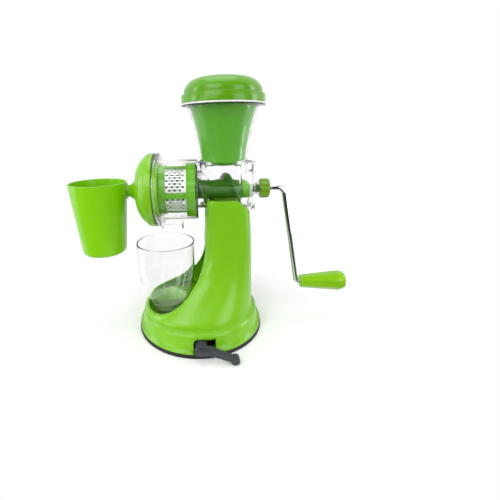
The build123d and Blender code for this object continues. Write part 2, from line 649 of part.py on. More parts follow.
with BuildPart() as strainer_frame:
    rod(section_at(COLLAR_LEFT), COLLAR_R, COLLAR_LEN)
    rod(section_at(DRUM_LEFT), STRAINER_END_R, MESH_LEFT - DRUM_LEFT)
    bore(section_at(DRUM_LEFT), FRAME_IN_R, -DRUM_LEFT)
    with BuildSketch(section_at(MESH_LEFT - 1)):
        with PolarLocations((FRAME_IN_R + RIB_R) / 2, RIB_COUNT, start_angle=RIB_START):
            Rectangle(RIB_R - FRAME_IN_R - 0.4, RIB_W)
    extrude(amount=COLLAR_LEFT - MESH_LEFT + 2)
save(strainer_frame, "strainer_frame")

MESH_COLUMNS = int((COLLAR_LEFT - MESH_LEFT - MESH_PITCH_X / 2) // MESH_PITCH_X) + 1
mesh_holes = []
for row in range(MESH_ROWS):
    angle = math.radians(360 / MESH_ROWS * row)
    outward = (0, math.cos(angle), math.sin(angle))
    for column in range(MESH_COLUMNS):
        hole_x = MESH_LEFT + MESH_MARGIN + MESH_PITCH_X * (column + 0.5 * (row % 2))
        if hole_x < COLLAR_LEFT - MESH_HOLE_R:
            start = Plane(origin=(hole_x, 0, AXIS_Z), x_dir=(1, 0, 0), z_dir=outward)
            mesh_holes.append(start.offset(MESH_R - 2 * MESH_T).location)

with BuildPart() as strainer_mesh:
    rod(section_at(DRUM_LEFT + 1), MESH_R, DRUM_WALL_IN - DRUM_LEFT - 1)
    bore(section_at(DRUM_LEFT + 1), MESH_R - MESH_T, DRUM_WALL_IN - DRUM_LEFT - 1)
    with Locations(*mesh_holes):
        Cylinder(MESH_HOLE_R, 3 * MESH_T, align=(Align.CENTER, Align.CENTER, Align.MIN),
                 mode=Mode.SUBTRACT)
save(strainer_mesh, "strainer_mesh")

# ---------------------------------------------------------------- auger and crank

def flight(core_r, tip_r, pitch, turns, start_x):
    """One helical blade round the crank axis."""
    with BuildPart() as blade:
        with BuildLine() as path:
            Helix(pitch=pitch, height=pitch * turns, radius=core_r,
                  center=(start_x, 0, AXIS_Z), direction=(1, 0, 0))
        first = path.line @ 0
        across = first - Vector(start_x, 0, AXIS_Z)
        with BuildSketch(Plane(origin=first, x_dir=across, z_dir=path.line % 0)):
            with BuildLine():
                Polyline((-FLIGHT_ROOT, -FLIGHT_FOOT), (tip_r - core_r, -FLIGHT_EDGE),
                         (tip_r - core_r, FLIGHT_EDGE), (-FLIGHT_ROOT, FLIGHT_FOOT), close=True)
            make_face()
        sweep(path=path.line, is_frenet=True)
    return blade.part


with BuildPart() as auger:
    with BuildSketch(PROFILE_X):
        with BuildLine():
            Polyline((AUGER_LEFT, 0), (AUGER_LEFT, PRESS_NOSE_R), (DRUM_LEFT + 2, PRESS_CORE_R),
                     (DRUM_WALL_IN - 4, PRESS_CORE_R), (DRUM_RIGHT + 1, AUGER_CORE_R),
                     (BUSH_LEFT, AUGER_CORE_R), (BUSH_LEFT, JOURNAL_R), (NECK_END, JOURNAL_R),
                     (NECK_END, 0), close=True)
        make_face()
    revolve(axis=CRANK_AXIS)
    add(flight(AUGER_CORE_R, AUGER_FLIGHT_R, AUGER_PITCH, AUGER_TURNS, AUGER_START))
    add(flight(PRESS_CORE_R, PRESS_FLIGHT_R, PRESS_PITCH, PRESS_TURNS, DRUM_LEFT + 1.5))
    bore(section_at(SHAFT_LEFT), SHAFT_R + SNUG, NECK_END - SHAFT_LEFT)
save(auger, "auger")

with BuildPart() as rear_bush:
    rod(section_at(BUSH_LEFT), AUGER_CORE_R, BUSH_RIGHT - BUSH_LEFT)
    bore(section_at(BUSH_LEFT), JOURNAL_R + SNUG, BUSH_RIGHT - BUSH_LEFT)
save(rear_bush, "rear_bush")

with BuildPart() as shaft_seal:
    rod(section_at(BUSH_RIGHT + LOOSE), AUGER_CORE_R - 1, FEED_END - BUSH_RIGHT - LOOSE)
    bore(section_at(BUSH_RIGHT + LOOSE), JOURNAL_R + RUN, FEED_END - BUSH_RIGHT - LOOSE)
save(shaft_seal, "shaft_seal")

with BuildPart() as auger_shaft:
    rod(section_at(SHAFT_LEFT), SHAFT_R, SHAFT_RIGHT - SHAFT_LEFT)
    chamfer(auger_shaft.edges().group_by(Axis.X)[-1], 0.6)
save(auger_shaft, "auger_shaft")

with BuildPart() as thrust_washer:
    rod(section_at(NECK_END + RUN), NECK_R + 0.8, NUT_LEFT - NECK_END - 2 * RUN)
    bore(section_at(NECK_END + RUN), SHAFT_R + RUN, NUT_LEFT - NECK_END - 2 * RUN)
save(thrust_washer, "thrust_washer")

INSERT_RIGHT = SHAFT_RIGHT + 0.4
ROD_START = INSERT_RIGHT + 0.4

with BuildPart() as crank_nut:
    with BuildSketch(section_at(NUT_LEFT)):
        Circle(NUT_R - NUT_RIB_R / 2)
        with PolarLocations(NUT_R - NUT_RIB_R, NUT_RIBS):
            Circle(NUT_RIB_R)
    extrude(amount=NUT_RIGHT - NUT_LEFT)
    # Bevelled ends
    with BuildSketch(PROFILE_X):
        with BuildLine():
            Polyline((NUT_LEFT, 0), (NUT_LEFT, NUT_R - NUT_BEVEL), (NUT_LEFT + NUT_BEVEL, NUT_R),
                     (NUT_RIGHT - NUT_BEVEL, NUT_R), (NUT_RIGHT, NUT_R - NUT_BEVEL),
                     (NUT_RIGHT, 0), close=True)
        make_face()
    revolve(axis=CRANK_AXIS, mode=Mode.INTERSECT)
    bore(section_at(NUT_LEFT), INSERT_R + SNUG, INSERT_RIGHT - NUT_LEFT)
    bore(section_at(INSERT_RIGHT), ROD_R + SNUG, NUT_RIGHT - INSERT_RIGHT)
save(crank_nut, "crank_nut")

with BuildPart() as nut_insert:
    rod(section_at(NUT_LEFT + LOOSE), INSERT_R, INSERT_RIGHT - NUT_LEFT - LOOSE)
    bore(section_at(NUT_LEFT + LOOSE), SHAFT_R + SNUG, INSERT_RIGHT - NUT_LEFT - LOOSE)
save(nut_insert, "nut_insert")

with BuildPart() as crank_rod:
    with BuildLine() as crank_path:
        FilletPolyline((ROD_START, 0, AXIS_Z), (CRANK_OUT_X, 0, AXIS_Z),
                       (CRANK_LOW_X, 0, GRIP_Z), (ROD_END, 0, GRIP_Z),
                       radius=[CRANK_BEND, CRANK_LOW_BEND])
    with BuildSketch(section_at(ROD_START)):
        Circle(ROD_R)
    sweep(path=crank_path.line)
save(crank_rod, "crank_rod")

GRIP_AXIS_PLANE = Plane(origin=(0, 0, GRIP_Z), x_dir=(0, 1, 0), z_dir=(1, 0, 0))
ROD_NUT_LEFT = ROD_END - GRIP_NUT_T

with BuildPart() as grip_nut:
    with BuildSketch(GRIP_AXIS_PLANE.offset(ROD_NUT_LEFT)):
        RegularPolygon(GRIP_NUT_R, 6)
        Circle(ROD_R + SNUG, mode=Mode.SUBTRACT)
    extrude(amount=GRIP_NUT_T)
save(grip_nut, "grip_nut")

with BuildPart() as grip:
    for x, radius in ((GRIP_LEFT, GRIP_R_LEFT - GRIP_START_BEVEL),
                      (GRIP_LEFT + GRIP_START_BEVEL, GRIP_R_LEFT),
                      (GRIP_RIGHT - GRIP_TIP, GRIP_R_RIGHT),
                      (GRIP_RIGHT, GRIP_R_RIGHT - GRIP_BEVEL)):
        with BuildSketch(GRIP_AXIS_PLANE.offset(x)):
            RegularPolygon(radius, GRIP_SIDES, rotation=180 / GRIP_SIDES)
    loft(ruled=True)
    bore(GRIP_AXIS_PLANE.offset(GRIP_LEFT), ROD_R + RUN, GRIP_RIGHT - GRIP_LEFT)
    bore(GRIP_AXIS_PLANE.offset(ROD_NUT_LEFT - LOOSE), GRIP_WELL_R,
         GRIP_RIGHT - ROD_NUT_LEFT + LOOSE)
save(grip, "grip")

with BuildPart() as grip_plug:
    rod(GRIP_AXIS_PLANE.offset(GRIP_RIGHT - PLUG_T), GRIP_WELL_R - SNUG, PLUG_T)
save(grip_plug, "grip_plug")

# ---------------------------------------------------------------- pusher

PUSHER_INSET = HOPPER_WALL + PUSHER_GAP
PUSHER_LOW = AXIS_Z + PUSHER_OVER
PUSHER_TURN_Z = PUSHER_LOW + PUSHER_ROUND
PUSHER_END_RISE = PUSHER_ROUND * 0.2
PUSHER_FLANGE_R = CAP_BAND_R - CAP_WALL - SNUG
RIM_PLANE = Plane(origin=(HOPPER_X, 0, HOPPER_TOP))

with BuildPart() as pusher_body:
    revolve(hopper_outline(PUSHER_INSET, PUSHER_TURN_Z,
                           ((PUSHER_END_R, PUSHER_LOW + PUSHER_END_RISE),
                            (PUSHER_FLAT_R, PUSHER_LOW))), axis=HOPPER_AXIS)
    rod(RIM_PLANE, PUSHER_FLANGE_R, PUSHER_FLANGE_T)
    inside_low = PUSHER_LOW + PUSHER_WALL
    revolve(hopper_outline(PUSHER_INSET + PUSHER_WALL, PUSHER_TURN_Z + PUSHER_WALL,
                           ((PUSHER_END_R - PUSHER_WALL, inside_low + PUSHER_END_RISE),
                            (PUSHER_FLAT_R - PUSHER_WALL, inside_low))),
            axis=HOPPER_AXIS, mode=Mode.SUBTRACT)
    bore(RIM_PLANE, HOPPER_LIP_R - PUSHER_INSET - PUSHER_WALL, PUSHER_FLANGE_T)
save(pusher_body, "pusher_body")

CAP_R = CAP_BAND_R - CAP_STEP
CAP_BAND_TOP = HOPPER_TOP + CAP_BAND_H
CAP_SEAT = HOPPER_TOP + PUSHER_FLANGE_T + RUN   # underside of the lid, over the pusher's flange


def crown(radius, low, height):
    """A domed lid's half outline on the hopper's axis, open along its lower edge."""
    curve = [(radius * share_r, low + height * share_z) for share_r, share_z in CAP_CURVE]
    Spline((0, low + height), *curve, (radius, low), tangents=[(1, 0), (0.02, -1)])


with BuildPart() as pusher_cap:
    with BuildSketch(HOPPER_PROFILE):
        with BuildLine():
            crown(CAP_R, CAP_BAND_TOP, CAP_CROWN_H)
            Polyline((CAP_R, CAP_BAND_TOP), (CAP_BAND_R, CAP_BAND_TOP), (CAP_BAND_R, HOPPER_TOP),
                     (0, HOPPER_TOP), (0, CAP_BAND_TOP + CAP_CROWN_H))
        make_face()
    revolve(axis=HOPPER_AXIS)
    with BuildSketch(HOPPER_PROFILE):
        with BuildLine():
            crown(CAP_R - CAP_WALL, CAP_BAND_TOP - CAP_WALL, CAP_CROWN_H)
            Polyline((CAP_R - CAP_WALL, CAP_BAND_TOP - CAP_WALL), (CAP_R - CAP_WALL, CAP_SEAT),
                     (0, CAP_SEAT), (0, CAP_BAND_TOP - CAP_WALL + CAP_CROWN_H))
        make_face()
    revolve(axis=HOPPER_AXIS, mode=Mode.SUBTRACT)
    bore(RIM_PLANE, CAP_BAND_R - CAP_WALL, CAP_SEAT - HOPPER_TOP)
save(pusher_cap, "pusher_cap")

# ---------------------------------------------------------------- end cap and waste cup

PLUG_R = DRUM_IN_R - LOOSE
GASKET_IN = PLUG_R + GASKET_IN_SHARE * (FLANGE_R - PLUG_R)
GASKET_OUT = PLUG_R + GASKET_OUT_SHARE * (FLANGE_R - PLUG_R)
DOME_X = FLANGE_LEFT - DOME_H     # where the dome's side meets its neck
DOME_RIM_X = FLANGE_LEFT - DOME_RIM
GASKET_X = FLANGE_LEFT - GASKET_T


def inside_of(point):
    """A point of the dome's outline, drawn in by the wall towards the middle of its rim."""
    out = Vector(*point) - Vector(FLANGE_LEFT, 0)
    inner = out * (1 - CLEAR_WALL / out.length)
    return (FLANGE_LEFT + inner.X, inner.Y)


with BuildPart() as end_cap:
    neck = [(DOME_X - left, radius) for left, radius in DOME_NECK]
    side = [(DOME_X - left, FLANGE_R * share) for left, share in DOME_SIDE]
    neck_left = DOME_X - DOME_NECK[0][0] - DOME_RIM
    with BuildSketch(PROFILE_X):
        with BuildLine():
            Polyline((NOZZLE_TIP, NOZZLE_BORE_R), (NOZZLE_TIP, NOZZLE_R), (neck_left, NOZZLE_R))
            Spline((neck_left, NOZZLE_R), *neck, *side, (DOME_RIM_X, FLANGE_R),
                   tangents=[(1, 0), (1, 0.2)])
            Polyline((DOME_RIM_X, FLANGE_R), (FLANGE_LEFT, FLANGE_R), (FLANGE_LEFT, PLUG_R),
                     (DRUM_LEFT - RUN, PLUG_R), (DRUM_LEFT - RUN, PLUG_R - CLEAR_WALL),
                     (GASKET_X - CLEAR_WALL, PLUG_R - CLEAR_WALL),
                     (GASKET_X - CLEAR_WALL, FLANGE_R - CLEAR_WALL),
                     *[inside_of(point) for point in reversed(side)],
                     (DOME_X + CLEAR_WALL, NOZZLE_BORE_R + CLEAR_WALL), (DOME_X, NOZZLE_BORE_R),
                     (NOZZLE_TIP, NOZZLE_BORE_R))
        make_face()
    revolve(axis=CRANK_AXIS)
    with BuildSketch(section_at(GASKET_X)):
        Circle(GASKET_OUT + SNUG)
        Circle(GASKET_IN - SNUG, mode=Mode.SUBTRACT)
    extrude(amount=GASKET_T, mode=Mode.SUBTRACT)
save(end_cap, "end_cap")

with BuildPart() as cap_gasket:
    rod(section_at(GASKET_X), GASKET_OUT, GASKET_T - SNUG)
    bore(section_at(GASKET_X), GASKET_IN, GASKET_T - SNUG)
save(cap_gasket, "cap_gasket")

CUP_PROFILE = Plane(origin=(CUP_X, 0, 0), x_dir=(1, 0, 0), z_dir=(0, -1, 0))
CUP_AXIS = Axis((CUP_X, 0, 0), (0, 0, 1))
CUP_RIM_Z = AXIS_Z + CUP_RIM_OVER
CUP_LOW_Z = CUP_RIM_Z - CUP_H

with BuildPart() as cup_inside:
    with BuildSketch(CUP_PROFILE):
        with BuildLine():
            Polyline((0, CUP_LOW_Z + CUP_FLOOR_T), (CUP_LOW_R - CUP_WALL, CUP_LOW_Z + CUP_FLOOR_T),
                     (CUP_RIM_R - CUP_WALL, CUP_RIM_Z), (0, CUP_RIM_Z), close=True)
        make_face()
    revolve(axis=CUP_AXIS)

with BuildPart() as waste_cup:
    with BuildSketch(CUP_PROFILE):
        with BuildLine():
            Polyline((0, CUP_LOW_Z), (CUP_LOW_R, CUP_LOW_Z), (CUP_RIM_R, CUP_RIM_Z),
                     (0, CUP_RIM_Z), close=True)
        make_face()
    revolve(axis=CUP_AXIS)
    fillet(waste_cup.edges().filter_by(GeomType.CIRCLE).group_by(Axis.Z)[0], CUP_ROUND)
    rod(section_at(NOZZLE_TIP), CUP_BOSS_R, CUP_BOSS_RIGHT - NOZZLE_TIP)
    add(cup_inside.part, mode=Mode.SUBTRACT)
    bore(section_at(NOZZLE_TIP), NOZZLE_R + RUN, CUP_BOSS_RIGHT - NOZZLE_TIP)
save(waste_cup, "waste_cup")
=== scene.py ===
# %% [markdown]
# This file dresses a hand cranked wheatgrass juicer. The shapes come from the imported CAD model,
# which stays where it is as a frame, and this script gives each piece its finish, its rounded
# edges and its small moulded detail. All lengths are in metres and Z points up.

# %% Load the frame
import json
import math

import bpy
from mathutils import Matrix, Vector

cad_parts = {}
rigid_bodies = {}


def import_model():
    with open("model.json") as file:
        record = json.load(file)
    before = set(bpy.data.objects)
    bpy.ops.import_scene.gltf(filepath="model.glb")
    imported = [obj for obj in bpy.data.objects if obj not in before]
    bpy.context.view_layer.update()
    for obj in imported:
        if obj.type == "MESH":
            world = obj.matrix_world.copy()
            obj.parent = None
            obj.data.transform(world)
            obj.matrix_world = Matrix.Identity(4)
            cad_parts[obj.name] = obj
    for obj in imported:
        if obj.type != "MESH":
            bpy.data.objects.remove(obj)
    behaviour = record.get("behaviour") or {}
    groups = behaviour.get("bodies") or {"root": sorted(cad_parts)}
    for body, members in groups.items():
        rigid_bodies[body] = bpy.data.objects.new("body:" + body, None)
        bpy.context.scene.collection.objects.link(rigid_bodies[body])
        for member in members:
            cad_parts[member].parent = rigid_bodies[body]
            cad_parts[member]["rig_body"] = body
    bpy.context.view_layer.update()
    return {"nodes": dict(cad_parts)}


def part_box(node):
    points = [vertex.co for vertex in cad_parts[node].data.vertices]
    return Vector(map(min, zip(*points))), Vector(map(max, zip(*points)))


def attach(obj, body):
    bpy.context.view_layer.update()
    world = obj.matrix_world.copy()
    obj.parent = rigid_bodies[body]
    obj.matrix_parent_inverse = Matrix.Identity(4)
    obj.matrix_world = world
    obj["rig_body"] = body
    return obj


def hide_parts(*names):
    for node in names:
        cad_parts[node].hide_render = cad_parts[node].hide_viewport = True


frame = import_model()
nodes = frame["nodes"]
bpy.ops.object.select_all(action="DESELECT")
print("faces", {name: len(piece.data.polygons) for name, piece in sorted(nodes.items())})

# %% [markdown]
# The camera stands in front of the juicer and a little above it, as in a catalogue picture. Its
# place, its tilt and its focal length were found from the ellipses of the round parts. The
# picture's optical axis isn't its middle, so the lens is shifted, as a cropped picture is.

# %% Camera
CAMERA_AT = Vector((0.0096, -0.3539, 0.2344))
CAMERA_PITCH = math.radians(16.77)
CAMERA_ROLL = math.radians(1.19)
FOCAL_SHARE = 309.2 / 500
AXIS_SHIFT = (44 / 500, -25 / 500)
SENSOR_MM = 36.0


def add_camera():
    """Makes the camera and returns it."""
    ahead = Vector((0, math.cos(CAMERA_PITCH), -math.sin(CAMERA_PITCH)))
    level = Vector((1, 0, 0))
    down = ahead.cross(level)
    right = math.cos(CAMERA_ROLL) * level + math.sin(CAMERA_ROLL) * down
    below = math.cos(CAMERA_ROLL) * down - math.sin(CAMERA_ROLL) * level
    lens = bpy.data.cameras.new("camera")
    lens.sensor_width = SENSOR_MM
    lens.lens = FOCAL_SHARE * SENSOR_MM
    lens.shift_x, lens.shift_y = AXIS_SHIFT
    camera = bpy.data.objects.new("camera", lens)
    turn = Matrix((right, -below, -ahead)).transposed().to_4x4()
    camera.matrix_world = Matrix.Translation(CAMERA_AT) @ turn
    bpy.context.scene.collection.objects.link(camera)
    bpy.context.scene.camera = camera
    return camera


camera = add_camera()
print("camera", camera.matrix_world.translation, "lens mm", round(camera.data.lens, 2))

# %% [markdown]
# Every finish below is made with the same two helpers. One turns a colour as it is written on a
# colour card, an sRGB hex value, into the linear light that Blender works with. The other adds a
# node with its settings and its links, so that a material reads as a list of its parts.

# %% Colour and node helpers


def linear(code):
    """The linear colour of an sRGB hex value such as 7CC41A."""
    channels = [int(code[i:i + 2], 16) / 255 for i in (0, 2, 4)]
    return [c / 12.92 if c <= 0.04045 else ((c + 0.055) / 1.055) ** 2.4 for c in channels] + [1.0]


def add_node(tree, kind, links=(), **settings):
    """Adds a node. Settings are its properties or socket values, links are (socket, source)."""
    node = tree.nodes.new(kind)
    for name, value in settings.items():
        if hasattr(node, name):
            setattr(node, name, value)
        else:
            node.inputs[name.replace("_", " ")].default_value = value
    for socket, source in links:
        tree.links.new(source, node.inputs[socket])
    return node


def new_material(name):
    """An empty node material and its tree."""
    material = bpy.data.materials.new(name)
    material.use_nodes = True
    material.node_tree.nodes.clear()
    return material, material.node_tree


print("hex 808080 is linear", round(linear("808080")[0], 3))

# %% [markdown]
# Most of the juicer is glossy ABS, a plastic that is injected hot into a polished steel mould. Its
# colour goes right through it. The surface is smooth, with a very faint waviness where the melt
# cooled, and a slight unevenness of gloss. Both are noise patterns, sized in millimetres. A mould
# never gives a knife edge, so a bevel node rounds the shading of each edge by half a millimetre,
# and the edge catches a thin line of light as the real one does.

# %% Moulded ABS
MM = 0.001
MIX_FROM, MIX_TO, MIXED = 6, 7, 2   # a Mix node's colour sockets, whose names aren't unique


def moulded_abs(name, colour, deep_colour, roughness=0.2, wave_mm=14.0, grain_mm=0.6, edge_mm=0.5):
    """Glossy injection moulded ABS with a cooled waviness, uneven gloss and soft edges."""
    material, tree = new_material(name)
    place = add_node(tree, "ShaderNodeTexCoord")
    wave = add_node(tree, "ShaderNodeTexNoise", [("Vector", place.outputs["Object"])],
                    Scale=1 / (wave_mm * MM), Detail=2.0, Roughness=0.5)
    grain = add_node(tree, "ShaderNodeTexNoise", [("Vector", place.outputs["Object"])],
                     Scale=1 / (grain_mm * MM), Detail=3.0, Roughness=0.6)
    tint = add_node(tree, "ShaderNodeMix", [("Factor", wave.outputs["Fac"])], data_type="RGBA")
    tint.inputs[MIX_FROM].default_value = linear(colour)
    tint.inputs[MIX_TO].default_value = linear(deep_colour)
    gloss = add_node(tree, "ShaderNodeMapRange", [("Value", grain.outputs["Fac"])],
                     To_Min=roughness * 0.8, To_Max=roughness * 1.25)
    relief = add_node(tree, "ShaderNodeBump", [("Height", wave.outputs["Fac"])],
                      Strength=0.1, Distance=0.3 * MM)
    fine = add_node(tree, "ShaderNodeBump", [("Height", grain.outputs["Fac"]),
                                             ("Normal", relief.outputs["Normal"])],
                    Strength=0.04, Distance=0.02 * MM)
    edge = add_node(tree, "ShaderNodeBevel", [("Normal", fine.outputs["Normal"])],
                    samples=4, Radius=edge_mm * MM)
    surface = add_node(tree, "ShaderNodeBsdfPrincipled",
                       [("Base Color", tint.outputs[MIXED]),
                        ("Roughness", gloss.outputs["Result"]),
                        ("Normal", edge.outputs["Normal"])],
                       IOR=1.5)
    add_node(tree, "ShaderNodeOutputMaterial", [("Surface", surface.outputs["BSDF"])])
    return material


stand_green = moulded_abs("moulded_abs_spring_green", "7ABC12", "73B60C", 0.26)
lid_green = moulded_abs("moulded_abs_leaf_green", "5A9C04", "549402", 0.22)
pusher_green = moulded_abs("moulded_abs_grass_green", "489004", "428A02", 0.3)
cup_green = moulded_abs("moulded_abs_bright_green", "84CE02", "7CC600", 0.24)
grip_green = moulded_abs("moulded_abs_lime_green", "84BE12", "7CB60C", 0.18, edge_mm=0.9)
nut_green = moulded_abs("moulded_abs_olive_green", "6C9A10", "64900C", 0.24, edge_mm=0.7)
frame_green = moulded_abs("moulded_abs_moss_green", "5A9C10", "4F8E08", 0.22)
# The auger is moulded deep green, and its colour is set darker still as painted shade, for the
# shade it lies in inside the strainer and the clear head.
screw_green_and_painted_shade = moulded_abs("moulded_abs_deep_green_and_painted_shade", "306606", "285A04", 0.18)
charcoal = moulded_abs("moulded_abs_charcoal", "33373B", "2C3034", 0.3)
black_plastic = moulded_abs("moulded_abs_black", "1B1B1D", "161618", 0.4)
print("ABS finishes made")

# %% [markdown]
# The head is clear polycarbonate and the glass is clear styrene. Light goes through them and
# bends, so each wall needs its real thickness, which the CAD solids have. Such a plastic is
# polished like the mould, so it is almost without roughness. Real lamps also shine through it onto
# what is inside. A path tracer finds such light only by luck, so shadow rays are let straight
# through. Both refractive indices are set below the real plastics', which are about 1.59. A lower
# index bends and mirrors less light, so what is inside shows more plainly.

# %% Clear polycarbonate


def clear_polycarbonate(name, colour, ior, roughness=0.01):
    """Clear moulded plastic with a faint ripple, through which lamps shine."""
    material, tree = new_material(name)
    place = add_node(tree, "ShaderNodeTexCoord")
    ripple = add_node(tree, "ShaderNodeTexNoise", [("Vector", place.outputs["Object"])],
                      Scale=1 / (16 * MM), Detail=1.0)
    relief = add_node(tree, "ShaderNodeBump", [("Height", ripple.outputs["Fac"])],
                      Strength=0.03, Distance=0.3 * MM)
    surface = add_node(tree, "ShaderNodeBsdfPrincipled", [("Normal", relief.outputs["Normal"])],
                       Base_Color=linear(colour), Roughness=roughness, IOR=ior,
                       Transmission_Weight=1.0, Specular_IOR_Level=1.0)
    through = add_node(tree, "ShaderNodeBsdfTransparent", Color=linear("FBFDFB"))
    path = add_node(tree, "ShaderNodeLightPath")
    mix = add_node(tree, "ShaderNodeMixShader",
                   [(0, path.outputs["Is Shadow Ray"]), (1, surface.outputs["BSDF"]),
                    (2, through.outputs["BSDF"])])
    add_node(tree, "ShaderNodeOutputMaterial", [("Surface", mix.outputs["Shader"])])
    return material


clear_head = clear_polycarbonate("clear_polycarbonate", "FFFFFF", 1.28)
clear_glass = clear_polycarbonate("clear_styrene_tumbler", "FFFFFF", 1.4)
print("clear finishes made")

# %% [markdown]
# The crank is a steel rod with polished chrome plate. The strainer is thin stainless sheet,
# rolled and punched, and the hidden hardware is plain turned steel and brass.

# %% Metals


def metal(name, colour, roughness, streak_mm, across):
    """A metal with fine streaks along its working direction."""
    material, tree = new_material(name)
    place = add_node(tree, "ShaderNodeTexCoord")
    stretch = add_node(tree, "ShaderNodeMapping", [("Vector", place.outputs["Object"])],
                       Scale=across)
    streak = add_node(tree, "ShaderNodeTexNoise", [("Vector", stretch.outputs["Vector"])],
                      Scale=1 / (streak_mm * MM), Detail=3.0)
    gloss = add_node(tree, "ShaderNodeMapRange", [("Value", streak.outputs["Fac"])],
                     To_Min=roughness * 0.7, To_Max=roughness * 1.4)
    surface = add_node(tree, "ShaderNodeBsdfPrincipled",
                       [("Roughness", gloss.outputs["Result"])],
                       Base_Color=linear(colour), Metallic=1.0)
    add_node(tree, "ShaderNodeOutputMaterial", [("Surface", surface.outputs["BSDF"])])
    return material


chrome = metal("chromed_steel_rod", "E2E2E4", 0.06, 1.2, (1, 1, 0.08))
steel = metal("turned_stainless", "C6C8C8", 0.28, 0.5, (0.1, 1, 1))
sheet_steel = metal("punched_stainless_sheet", "F4F4F4", 0.42, 0.5, (0.1, 1, 1))
brass = metal("turned_brass", "C9A45A", 0.28, 0.4, (1, 1, 1))
print("metal finishes made")

# %% [markdown]
# The pad under the foot is black rubber, and the seals are pale silicone. Rubber is dull, with a
# fine leathery grain from the mould.

# %% Rubber


def moulded_rubber(name, colour, roughness, grain_mm=0.5):
    """Dull moulded rubber with a fine grain."""
    material, tree = new_material(name)
    place = add_node(tree, "ShaderNodeTexCoord")
    grain = add_node(tree, "ShaderNodeTexNoise", [("Vector", place.outputs["Object"])],
                     Scale=1 / (grain_mm * MM), Detail=4.0)
    relief = add_node(tree, "ShaderNodeBump", [("Height", grain.outputs["Fac"])],
                      Strength=0.25, Distance=0.06 * MM)
    surface = add_node(tree, "ShaderNodeBsdfPrincipled", [("Normal", relief.outputs["Normal"])],
                       Base_Color=linear(colour), Roughness=roughness, IOR=1.52)
    add_node(tree, "ShaderNodeOutputMaterial", [("Surface", surface.outputs["BSDF"])])
    return material


black_rubber = moulded_rubber("moulded_black_rubber", "0A0A0B", 0.62)
silicone = moulded_rubber("pale_silicone", "C9CEC9", 0.4)
print("rubber finishes made")

# %% [markdown]
# Each CAD node gets its finish on a copy of its mesh. The CAD mesh has separate points along every
# seam, so the copy is welded first. Its long thin triangles would then shade a flat wall in
# stripes and an edge as a saw, so each point's normal is weighted towards its large faces.

# %% Assign the finishes
WELD = 0.002 * MM
SMOOTH_BELOW = math.radians(32)
LARGE_FACE_WEIGHT = 75

FINISH = {
    "stand_shell": stand_green, "well_floor": stand_green, "base_plate": black_plastic,
    "base_screws": steel, "suction_ring": black_rubber, "suction_disc": black_rubber,
    "suction_stem": steel, "suction_lever": charcoal, "cam_shaft": steel,
    "juice_glass": clear_glass, "juicer_housing": clear_head, "strainer_frame": frame_green,
    "strainer_mesh": sheet_steel, "shaft_seal": silicone, "auger": screw_green_and_painted_shade,
    "auger_shaft": steel, "rear_bush": lid_green, "thrust_washer": steel, "crank_nut": nut_green,
    "nut_insert": brass, "crank_rod": chrome, "grip_nut": steel, "grip": grip_green,
    "grip_plug": grip_green, "pusher_body": pusher_green, "pusher_cap": lid_green,
    "end_cap": stand_green, "cap_gasket": silicone, "waste_cup": cup_green,
}


def smooth_copy(name, finish):
    """A welded copy of a CAD node with smooth curved faces, which stands for the node."""
    piece = bpy.data.objects.new(name + "_moulding", nodes[name].data.copy())
    bpy.context.scene.collection.objects.link(piece)
    bpy.ops.object.select_all(action="DESELECT")
    piece.select_set(True)
    bpy.context.view_layer.objects.active = piece
    bpy.ops.object.mode_set(mode="EDIT")
    bpy.ops.mesh.select_all(action="SELECT")
    bpy.ops.mesh.remove_doubles(threshold=WELD)
    bpy.ops.object.mode_set(mode="OBJECT")
    bpy.ops.object.shade_smooth_by_angle(angle=SMOOTH_BELOW)
    even = piece.modifiers.new("even_shading", "WEIGHTED_NORMAL")
    even.weight = LARGE_FACE_WEIGHT
    even.keep_sharp = True
    bpy.ops.object.modifier_apply(modifier="even_shading")
    piece.data.materials.clear()
    piece.data.materials.append(finish)
    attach(piece, nodes[name]["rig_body"])
    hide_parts(name)
    return piece


dressed = {name: smooth_copy(name, finish) for name, finish in FINISH.items()}
print("dressed", len(dressed), "nodes")

# %% [markdown]
# The tumbler's thick bottom is a lens of plastic. It gathers light from all round and looks pale
# against
# the green well. That light is painted: its faces get a pale finish of their own that scatters
# light.

# %% Painted light in the glass bottom


def painted_light_plastic(name, colour, clearness, roughness):
    """Clear plastic that scatters part of the light, used to paint the light that clear plastic
    catches.
    """
    material, tree = new_material(name)
    place = add_node(tree, "ShaderNodeTexCoord")
    cloud = add_node(tree, "ShaderNodeTexNoise", [("Vector", place.outputs["Object"])],
                     Scale=1 / (5 * MM), Detail=2.0)
    gloss = add_node(tree, "ShaderNodeMapRange", [("Value", cloud.outputs["Fac"])],
                     To_Min=roughness * 0.7, To_Max=roughness * 1.3)
    surface = add_node(tree, "ShaderNodeBsdfPrincipled", [("Roughness", gloss.outputs["Result"])],
                       Base_Color=linear(colour), IOR=1.4, Transmission_Weight=clearness)
    add_node(tree, "ShaderNodeOutputMaterial", [("Surface", surface.outputs["BSDF"])])
    return material


def finish_faces(piece, finish, wanted):
    """Gives a finish to the faces of a piece whose middle passes a test."""
    piece.data.materials.append(finish)
    slot = len(piece.data.materials) - 1
    chosen = [face for face in piece.data.polygons if wanted(face.center)]
    for face in chosen:
        face.material_index = slot
    return len(chosen)


glass_low, glass_high = (Vector(corner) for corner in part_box("juice_glass"))
# The lowest faces of the glass get a pale finish, which is painted light from its thick bottom.
PAINTED_LIGHT_H = 16 * MM
painted_light = painted_light_plastic("painted_light_styrene_bottom", "E6FFCC", 0.8, 0.16)
count = finish_faces(dressed["juice_glass"], painted_light,
                     lambda middle: middle.z < glass_low.z + PAINTED_LIGHT_H)
print("milky bottom faces", count, "of a glass", round(glass_high.z - glass_low.z, 4), "high")

